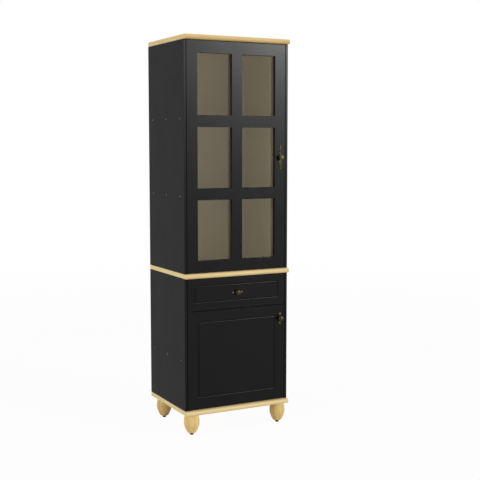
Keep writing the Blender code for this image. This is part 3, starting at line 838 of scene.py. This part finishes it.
# Plain pieces that keep their solid's shape, with softened edges
easedPieces = {
    "lining": {
        "ease": 0.0010,
        "nodes": [
            "upper_shelf_high",
            "upper_shelf_low",
            "lower_shelf",
            "drawer_left_side",
            "drawer_right_side",
            "drawer_back",
            "drawer_bottom",
        ],
    },
    "frontPaint": {"ease": 0.0004, "nodes": ["upper_door_frame"]},
    "sidePaint": {
        "ease": 0.0005,
        "nodes": [
            "drawer_divider",
            "glass_bead_left",
            "glass_bead_right",
            "glass_bead_top",
            "glass_bead_bottom",
        ],
    },
    "steel": {
        "ease": 0.0003,
        "nodes": [
            "case_slide_left",
            "case_slide_right",
            "drawer_slide_left",
            "drawer_slide_right",
            "upper_door_strike",
            "lower_door_strike",
            "upper_door_knob_screw",
            "lower_door_knob_screw",
            "drawer_knob_screw",
        ],
    },
    "whitePlastic": {
        "ease": 0.0003,
        "nodes": [
            "upper_door_top_bush",
            "upper_door_bottom_bush",
            "lower_door_top_bush",
            "lower_door_bottom_bush",
        ],
    },
    "blackSteel": {
        "ease": 0.0002,
        "nodes": [
            "upper_door_top_pivot",
            "upper_door_bottom_pivot",
            "lower_door_top_pivot",
            "lower_door_bottom_pivot",
        ],
    },
    "blackPlastic": {"ease": 0.0012, "nodes": ["upper_door_catch", "lower_door_catch"]},
    "glass": {"ease": 0.0004, "nodes": ["upper_door_glass"]},
}
for finishName, group in easedPieces.items():
    for node in group["nodes"]:
        shape = easeEdges(solidCopy(node), group["ease"])
        putPiece(pieceName(node), shape, finishes[finishName], node)
print("plain pieces eased")


# Drawer front and lower door: one board each, with a round-bottomed groove milled round the face
frontShape = {
    "arris": 0.0003,
    "arrisSteps": 4,
    "grooveWidth": 0.0090,
    "grooveDepth": 0.0035,
    "grooveSteps": 12,
    "margins": {"lower_door_panel": 0.055, "drawer_front": 0.038},
}


def milledFront(node):
    low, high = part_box(node)
    arris = frontShape["arris"]
    thick = high.y - low.y
    half = frontShape["grooveWidth"] / 2
    sunk = frontShape["grooveDepth"]
    radius = (half * half + sunk * sunk) / (2 * sunk)
    spread = math.degrees(math.asin(half / radius))
    steps = frontShape["arrisSteps"]
    rings = arc((arris, thick - arris), arris, 90, 180, steps)
    rings += arc((arris, arris), arris, 180, 270, steps)
    centre = (frontShape["margins"][node], sunk - radius)
    rings += arc(centre, radius, 90 + spread, 90 - spread, frontShape["grooveSteps"])
    bm = bmesh.new()
    loops = []
    for inset, back in rings:
        left, right = low.x + inset, high.x - inset
        bottom, top = low.z + inset, high.z - inset
        corners = ((left, bottom), (right, bottom), (right, top), (left, top))
        loops.append([bm.verts.new((x, low.y + back, z)) for x, z in corners])
    for outer, inner in zip(loops, loops[1:]):
        for corner in range(4):
            after = (corner + 1) % 4
            bm.faces.new((outer[corner], outer[after], inner[after], inner[corner]))
        for corner in range(4):
            bm.edges.get((outer[corner], inner[corner])).smooth = False  # the mitres stay crisp
    bm.faces.new(loops[0])
    bm.faces.new(loops[-1])
    bmesh.ops.recalc_face_normals(bm, faces=bm.faces)
    putPiece(pieceName(node), bm, finishes["frontPaint"], node)


milledFront("drawer_front")
milledFront("lower_door_panel")
print("milled fronts made")


# Knobs
knobShape = {
    "base": 0.0085,
    "neck": 0.0048,
    "dome": 0.0065,
    # in from the base's radius, and up from the plate
    "flange": ((0.0004, 0.0), (0.0, 0.0004), (0.0, 0.0010), (0.0006, 0.0017), (0.0018, 0.0019)),
    "throat": ((0.0010, 0.0026), (0.0, 0.0036)),  # out from the neck's radius, and up from the plate
    "collar": ((0.0, 0.0078), (0.0008, 0.0066), (0.0018, 0.0058)),  # out from the neck, below the rim
    "under": -52,  # degrees, where the head's round starts below its rim
    "round": 142,
    "roundSteps": 18,
    "line": (14, 15),  # steps of the round that a turned line takes up
    "lineDeep": 0.0004,
    "steps": 48,
}


def roundKnob(prefix, finish):
    node = prefix + "_knob"
    low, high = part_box(node)
    middle = (low + high) / 2
    reach = high.y - low.y
    rim = (high.x - low.x) / 2
    base = knobShape["base"]
    neck = knobShape["neck"]
    head = reach - knobShape["dome"]
    profile = [(0, 0)]
    profile += [(base - inward, rise) for inward, rise in knobShape["flange"]]
    profile += [(neck + outward, rise) for outward, rise in knobShape["throat"]]
    profile += [(neck + outward, head - drop) for outward, drop in knobShape["collar"]]
    steps = knobShape["roundSteps"]
    for step in range(steps + 1):
        turn = math.radians(knobShape["under"] + knobShape["round"] * step / steps)
        line = knobShape["lineDeep"] if step in knobShape["line"] else 0.0
        profile.append((rim * math.cos(turn), head + knobShape["dome"] * math.sin(turn) - line))
    profile[-1] = (0, reach)
    place = Vector((middle.x, high.y, middle.z))
    knob = aimed(lathe(profile, knobShape["steps"]), place, (0, -1, 0))
    putPiece(pieceName(node), knob, finishes[finish], node, origin=place)


# Plates under the knobs, with a small round-head screw at each end
plateShape = {"ease": 0.0008, "screw": (0.0031, 0.0017)}


def knobPlate(prefix, spread, lying, finish, screws):
    node = prefix + "_knob_plate"
    putPiece(pieceName(node), easeEdges(solidCopy(node), plateShape["ease"]), finishes[finish], node)
    low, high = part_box(node)
    middle = Vector(((low.x + high.x) / 2, low.y, (low.z + high.z) / 2))
    step = Vector((spread, 0, 0)) if lying else Vector((0, 0, spread))
    places = [middle - step, middle + step]
    screwRow(pieceName(node) + "Screws", node, places, (0, -1, 0), plateShape["screw"], finish=screws)


pulls = {
    "upper_door": {
        "knob": "brass",
        "plate": {"spread": 0.0530, "lying": False, "finish": "plateBrass", "screws": "plateBrass"},
    },
    # The lower pulls use the darker brass copies: painted shade.
    "lower_door": {
        "knob": "shadedBrass",
        "plate": {"spread": 0.0227, "lying": False, "finish": "dimPlate", "screws": "agedSteel"},
    },
    "drawer": {
        "knob": "shadedBrass",
        "plate": {"spread": 0.0227, "lying": True, "finish": "dimPlate", "screws": "agedSteel"},
    },
}
for prefix, pull in pulls.items():
    roundKnob(prefix, pull["knob"])
    knobPlate(prefix, **pull["plate"])
print("knobs made")


# Inner fittings: catch poles, and the screws of catches, pivots, slides and beads
catchShape = {
    "pole": 0.0016,
    "poleShares": (0.32, 0.68),  # of the catch's width
    "poleInset": 0.007,
    "poleDeep": 0.004,
    "proud": 0.00015,
    "ease": 0.0002,
    "screw": (0.0026, 0.0012),
    "screwInset": 0.006,
    "screwBack": 0.003,
}


def catchFittings(prefix):
    node = prefix + "_catch"
    low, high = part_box(node)
    half = catchShape["pole"] / 2
    inset = catchShape["poleInset"]
    strips = []
    for share in catchShape["poleShares"]:
        middle = low.x + (high.x - low.x) * share
        lower = (middle - half, low.y - catchShape["proud"], low.z + inset)
        upper = (middle + half, low.y + catchShape["poleDeep"], high.z - inset)
        strips.append(easeEdges(block(lower, upper), catchShape["ease"], 2))
    putPiece(pieceName(node) + "Poles", gathered(strips), finishes["steel"], node, stands=False)
    back = (low.y + high.y) / 2 + catchShape["screwBack"]
    inset = catchShape["screwInset"]
    places = [Vector((low.x, back, height)) for height in (low.z + inset, high.z - inset)]
    screwRow(pieceName(node) + "Screws", node, places, (-1, 0, 0), catchShape["screw"])


pivotShape = {"plate": 0.0015, "fromBack": (0.009, 0.026), "screw": (0.0030, 0.0008)}


def pivotScrews(prefix, end):
    node = prefix + "_" + end + "_pivot"
    low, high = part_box(node)
    middle = (low.x + high.x) / 2
    plate = pivotShape["plate"]
    seat = low.z + plate if end == "bottom" else high.z - plate
    up = 1 if end == "bottom" else -1
    places = [Vector((middle, high.y - back, seat)) for back in pivotShape["fromBack"]]
    screwRow(pieceName(node) + "Screws", node, places, (0, 0, up), pivotShape["screw"])


slideShape = {"web": 0.0012, "fromFront": (0.035, 0.165, 0.315), "screw": (0.0032, 0.0014)}


def slideScrews(side):
    hand = -1 if side == "left" else 1
    for node, inner in (("case_slide_" + side, False), ("drawer_slide_" + side, True)):
        low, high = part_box(node)
        web = low.x if inner == (hand > 0) else high.x
        way = hand if inner else -hand
        seat = web + way * slideShape["web"]
        middle = (low.z + high.z) / 2
        places = [Vector((seat, low.y + back, middle)) for back in slideShape["fromFront"]]
        screwRow(pieceName(node) + "Screws", node, places, (way, 0, 0), slideShape["screw"])


beadShape = {"pitch": 0.16, "inset": 0.004, "screw": (0.0024, 0.0009)}


def beadScrews(side):
    node = "glass_bead_" + side
    low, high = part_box(node)
    upright = side in ("left", "right")
    start, end = (low.z, high.z) if upright else (low.x, high.x)
    outer = {"left": low.x, "right": high.x, "top": high.z, "bottom": low.z}[side]
    inset = beadShape["inset"]
    line = outer + inset if side in ("left", "bottom") else outer - inset
    count = round((end - start) / beadShape["pitch"])
    places = []
    for number in range(count):
        run = start + (end - start) * (number + 0.5) / count
        places.append(Vector((line, high.y, run) if upright else (run, high.y, line)))
    screwRow(pieceName(node) + "Screws", node, places, (0, 1, 0), beadShape["screw"])


for prefix in ("upper_door", "lower_door"):
    catchFittings(prefix)
    for end in ("top", "bottom"):
        pivotScrews(prefix, end)
for side in ("left", "right"):
    slideScrews(side)
for side in ("left", "right", "top", "bottom"):
    beadScrews(side)
print("inner fittings made")


# Floor, light and camera
stageLook = {
    "floor": 0.72,
    "lift": 0.96,  # the floor's share of plain white near the cabinet, up to 1 from near to far
    "near": 2.5,
    "far": 7.0,
    "ambient": 0.34,
    "size": 80.0,
    "aim": 0.95,
}
lampLook = {
    "key": {"turn": 33.3, "rise": 13.1, "away": 19.0, "size": 1.5, "power": 2060.0},
    "fill": {"turn": -83.0, "rise": 2.0, "away": 6.0, "size": 4.0, "power": 200.0},
    "top": {"turn": 10.0, "rise": 78.0, "away": 5.5, "size": 4.5, "power": 112.0},
}
cameraLook = {
    "place": (-2.0677, -4.2079, 1.3677),
    "tilt": 84.3384,
    "pan": -27.4619,
    "lens": 71.4345,
    "sensor": 36.0,
}


def shownDirectly(wire):
    # 1 for rays from the camera, a mirror or the glass, so that they see plain white
    seen = wire.node("ShaderNodeLightPath", out="Is Camera Ray")
    mirrored = wire.node("ShaderNodeLightPath", out="Is Glossy Ray")
    through = wire.node("ShaderNodeLightPath", out="Is Transmission Ray")
    return (seen + mirrored + through).limited()


def whiteFloor():
    bm = bmesh.new()
    bmesh.ops.create_grid(bm, x_segments=1, y_segments=1, size=stageLook["size"] / 2)
    floor = bpy.data.objects.new("floor", asMesh(bm))
    bpy.context.scene.collection.objects.link(floor)
    finish, wire, spot = startFinish("floorWhite")
    shade = stageLook["floor"]
    paper = wire.node("ShaderNodeBsdfDiffuse", {}, {"Color": (shade, shade, shade, 1.0)})
    away = wire.node("ShaderNodeVectorMath", {"operation": "LENGTH"}, {0: spot}, out="Value")
    fade = ((away - stageLook["near"]) / (stageLook["far"] - stageLook["near"])).limited()
    white = fade * (1 - stageLook["lift"]) + stageLook["lift"]
    glow = wire.node("ShaderNodeEmission", {}, {"Strength": 1.0})
    mixed = wire.node("ShaderNodeMixShader", {}, {0: shownDirectly(wire) * white, 1: paper, 2: glow})
    wire.node("ShaderNodeOutputMaterial", {}, {"Surface": mixed})
    finish.cycles.emission_sampling = "NONE"
    floor.data.materials.append(finish)


def paleSurroundings():
    world = bpy.data.worlds.new("surroundings")
    world.use_nodes = True
    world.node_tree.nodes.clear()
    wire = Wire(world.node_tree)
    strength = shownDirectly(wire) * (1 - stageLook["ambient"]) + stageLook["ambient"]
    sky = wire.node("ShaderNodeBackground", {}, {"Color": (1, 1, 1, 1), "Strength": strength})
    wire.node("ShaderNodeOutputWorld", {}, {"Surface": sky})
    bpy.context.scene.world = world


def lamp(name, look, target):
    turn = math.radians(look["turn"])
    rise = math.radians(look["rise"])
    way = Vector((math.sin(turn) * math.cos(rise), -math.cos(turn) * math.cos(rise), math.sin(rise)))
    light = bpy.data.lights.new(name, "AREA")
    light.shape = "DISK"
    light.size = look["size"]
    light.energy = look["power"]
    holder = bpy.data.objects.new(name, light)
    bpy.context.scene.collection.objects.link(holder)
    holder.location = target + way * look["away"]
    holder.rotation_euler = (-way).to_track_quat("-Z", "Y").to_euler()


def photographCamera():
    camera = bpy.data.cameras.new("camera")
    camera.lens = cameraLook["lens"]
    camera.sensor_width = cameraLook["sensor"]
    holder = bpy.data.objects.new("camera", camera)
    bpy.context.scene.collection.objects.link(holder)
    holder.location = cameraLook["place"]
    holder.rotation_euler = (math.radians(cameraLook["tilt"]), 0, math.radians(cameraLook["pan"]))
    bpy.context.scene.camera = holder


whiteFloor()
paleSurroundings()
frontMiddle = Vector((0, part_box("lower_door_panel")[0].y, stageLook["aim"]))
for lampName, lampSettings in lampLook.items():
    lamp(lampName, lampSettings, frontMiddle)
photographCamera()
bpy.context.scene.view_settings.view_transform = "Standard"
print("stage, lamps and camera set")
